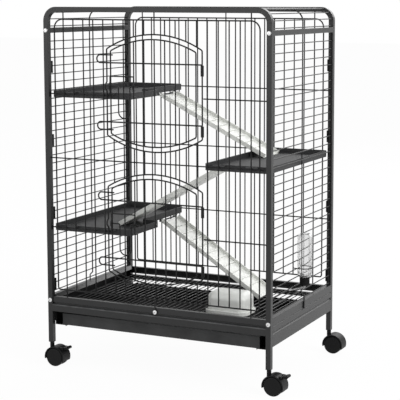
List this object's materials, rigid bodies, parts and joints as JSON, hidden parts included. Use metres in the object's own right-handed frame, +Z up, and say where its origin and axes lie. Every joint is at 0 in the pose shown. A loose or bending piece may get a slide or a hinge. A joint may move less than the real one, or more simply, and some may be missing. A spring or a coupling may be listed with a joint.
{
  "type": "rodent cage",
  "caption": "Tall wire cage for small animals on swivel casters, with arched wire doors and sliding latches, shelves joined by ramps, a hideout, a water bottle and a slide-out tray.",
  "frame": {"origin": "on the floor under the middle of the four legs", "axes": "+X right along the front, +Y to the back, +Z up; the doors face -Y"},
  "size_m": [0.8418, 0.549, 1.146],
  "materials": {
    "frame_coat": "satin powder coat",
    "wire_coat": "satin powder coat",
    "tray_coat": "satin powder coat",
    "screw_zinc": "bright zinc",
    "bright_steel": "bright",
    "black_plastic": "fine grain",
    "shelf_plastic": "fine grain",
    "ramp_plastic": "milky",
    "hut_plastic": "milky",
    "clear_plastic": "clear",
    "caster_plastic": "moulded",
    "caster_tread": "moulded"
  },
  "bodies": {
    "cage": {"bottle_ball": "bright_steel", "bottle_body": "clear_plastic", "bottle_cap": "black_plastic", "bottle_hanger": "wire_coat", "bottle_spout": "bright_steel", "caster_stems": "bright_steel", "floor_grate": "wire_coat", "frame_screws": "screw_zinc", "front_base_rail": "frame_coat", "front_frame": "frame_coat", "front_panel": "wire_coat", "hideout": "hut_plastic", "left_base_apron": "frame_coat", "left_panel": "wire_coat", "left_top_rail": "frame_coat", "left_tray_guide": "tray_coat", "leg_sockets": "black_plastic", "lower_door_surround": "wire_coat", "lower_shelf": "shelf_plastic", "middle_shelf": "shelf_plastic", "panel_clips": "black_plastic", "rear_base_rail": "frame_coat", "rear_frame": "frame_coat", "rear_panel": "wire_coat", "right_base_apron": "frame_coat", "right_panel": "wire_coat", "right_top_rail": "frame_coat", "right_tray_guide": "tray_coat", "top_panel": "wire_coat", "upper_door_surround": "wire_coat", "upper_shelf": "shelf_plastic"},
    "front_left_caster": {"front_left_caster_hood": "caster_plastic", "front_left_axle": "bright_steel"},
    "front_left_wheel_pair": {"front_left_wheels": "caster_tread"},
    "front_right_caster": {"front_right_caster_hood": "caster_plastic", "front_right_axle": "bright_steel"},
    "front_right_wheel_pair": {"front_right_wheels": "caster_tread"},
    "rear_left_caster": {"rear_left_caster_hood": "caster_plastic", "rear_left_axle": "bright_steel"},
    "rear_left_wheel_pair": {"rear_left_wheels": "caster_tread"},
    "rear_right_caster": {"rear_right_caster_hood": "caster_plastic", "rear_right_axle": "bright_steel"},
    "rear_right_wheel_pair": {"rear_right_wheels": "caster_tread"},
    "front_left_brake": {"front_left_brake_lever": "caster_plastic"},
    "front_right_brake": {"front_right_brake_lever": "caster_plastic"},
    "upper_door_leaf": {"upper_door": "wire_coat", "upper_door_hinges": "wire_coat", "upper_latch_guide": "wire_coat"},
    "upper_bolt": {"upper_latch_bolt": "wire_coat"},
    "lower_door_leaf": {"lower_door": "wire_coat", "lower_door_hinges": "wire_coat", "lower_latch_guide": "wire_coat"},
    "lower_bolt": {"lower_latch_bolt": "wire_coat"},
    "upper_ramp_board": {"upper_ramp": "ramp_plastic"},
    "middle_ramp_board": {"middle_ramp": "ramp_plastic"},
    "lower_ramp_board": {"lower_ramp": "ramp_plastic"},
    "tray_drawer": {"tray": "tray_coat"}
  },
  "joints": [
    {"name": "tray_slide", "type": "slide", "parent": "cage", "child": "tray_drawer", "axis": [0, -1, 0], "range_m": [0, 0.42]},
    {"name": "upper_door_hinge", "type": "hinge", "parent": "cage", "child": "upper_door_leaf", "pos_m": [0.163, -0.25725, 0], "axis": [0, 0, 1], "range_deg": [0, 115]},
    {"name": "upper_bolt_slide", "type": "slide", "parent": "upper_door_leaf", "child": "upper_bolt", "axis": [1, 0, 0], "range_m": [-0.018, 0]},
    {"name": "lower_door_hinge", "type": "hinge", "parent": "cage", "child": "lower_door_leaf", "pos_m": [0.163, -0.25725, 0], "axis": [0, 0, 1], "range_deg": [0, 115]},
    {"name": "lower_bolt_slide", "type": "slide", "parent": "lower_door_leaf", "child": "lower_bolt", "axis": [1, 0, 0], "range_m": [-0.018, 0]},
    {"name": "upper_ramp_lift", "type": "hinge", "parent": "cage", "child": "upper_ramp_board", "pos_m": [-0.1635, 0, 0.8552], "axis": [0, -1, 0], "range_deg": [0, 18]},
    {"name": "middle_ramp_lift", "type": "hinge", "parent": "cage", "child": "middle_ramp_board", "pos_m": [0.1645, 0, 0.6522], "axis": [0, 1, 0], "range_deg": [0, 18]},
    {"name": "lower_ramp_lift", "type": "hinge", "parent": "cage", "child": "lower_ramp_board", "pos_m": [-0.1635, 0, 0.4302], "axis": [0, -1, 0], "range_deg": [0, 18]},
    {"name": "front_left_swivel", "type": "hinge", "parent": "cage", "child": "front_left_caster", "pos_m": [-0.38, -0.253, 0.064], "axis": [0, 0, 1], "continuous": true},
    {"name": "front_left_roll", "type": "hinge", "parent": "front_left_caster", "child": "front_left_wheel_pair", "pos_m": [-0.361, -0.253, 0.0295], "axis": [0, 1, 0], "continuous": true},
    {"name": "front_left_brake_hinge", "type": "hinge", "parent": "front_left_caster", "child": "front_left_brake", "pos_m": [-0.33477, -0.253, 0.05863], "axis": [0, 1, 0], "range_deg": [-20, 0]},
    {"name": "front_right_swivel", "type": "hinge", "parent": "cage", "child": "front_right_caster", "pos_m": [0.38, -0.253, 0.064], "axis": [0, 0, 1], "continuous": true},
    {"name": "front_right_roll", "type": "hinge", "parent": "front_right_caster", "child": "front_right_wheel_pair", "pos_m": [0.399, -0.253, 0.0295], "axis": [0, 1, 0], "continuous": true},
    {"name": "front_right_brake_hinge", "type": "hinge", "parent": "front_right_caster", "child": "front_right_brake", "pos_m": [0.42523, -0.253, 0.05863], "axis": [0, 1, 0], "range_deg": [-20, 0]},
    {"name": "rear_left_swivel", "type": "hinge", "parent": "cage", "child": "rear_left_caster", "pos_m": [-0.38, 0.253, 0.064], "axis": [0, 0, 1], "continuous": true},
    {"name": "rear_left_roll", "type": "hinge", "parent": "rear_left_caster", "child": "rear_left_wheel_pair", "pos_m": [-0.361, 0.253, 0.0295], "axis": [0, 1, 0], "continuous": true},
    {"name": "rear_right_swivel", "type": "hinge", "parent": "cage", "child": "rear_right_caster", "pos_m": [0.38, 0.253, 0.064], "axis": [0, 0, 1], "continuous": true},
    {"name": "rear_right_roll", "type": "hinge", "parent": "rear_right_caster", "child": "rear_right_wheel_pair", "pos_m": [0.399, 0.253, 0.0295], "axis": [0, 1, 0], "continuous": true}
  ]
}
